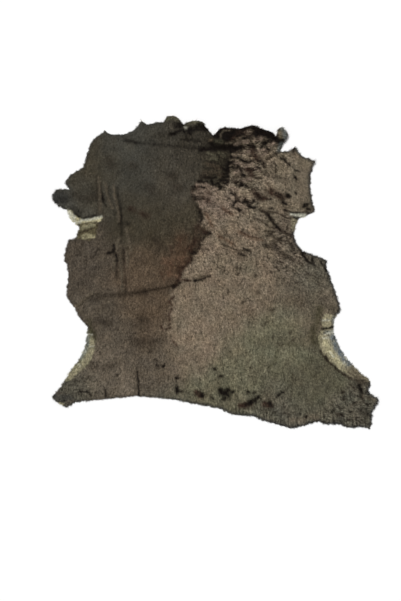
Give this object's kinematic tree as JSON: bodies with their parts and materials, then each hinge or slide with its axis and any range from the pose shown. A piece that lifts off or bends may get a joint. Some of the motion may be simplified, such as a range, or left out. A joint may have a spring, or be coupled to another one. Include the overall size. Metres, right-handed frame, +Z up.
{
  "type": "hair-on cowhide",
  "caption": "Flat hair-on hide with shank, neck and flank outline, lying fur side up.",
  "frame": {"origin": "under the middle of the hide's bounding box, on the surface that it lies on", "axes": "+X across the animal, +Y from the rump to the neck, +Z up out of the coat"},
  "size_m": [1.631, 1.5644, 0.031],
  "materials": {
    "hair_coat": "short mouse-brown cattle hair on tanned skin, matt with a slight sheen along the nap"
  },
  "bodies": {
    "root": {"hide": "hair_coat"}
  },
  "joints": []
}
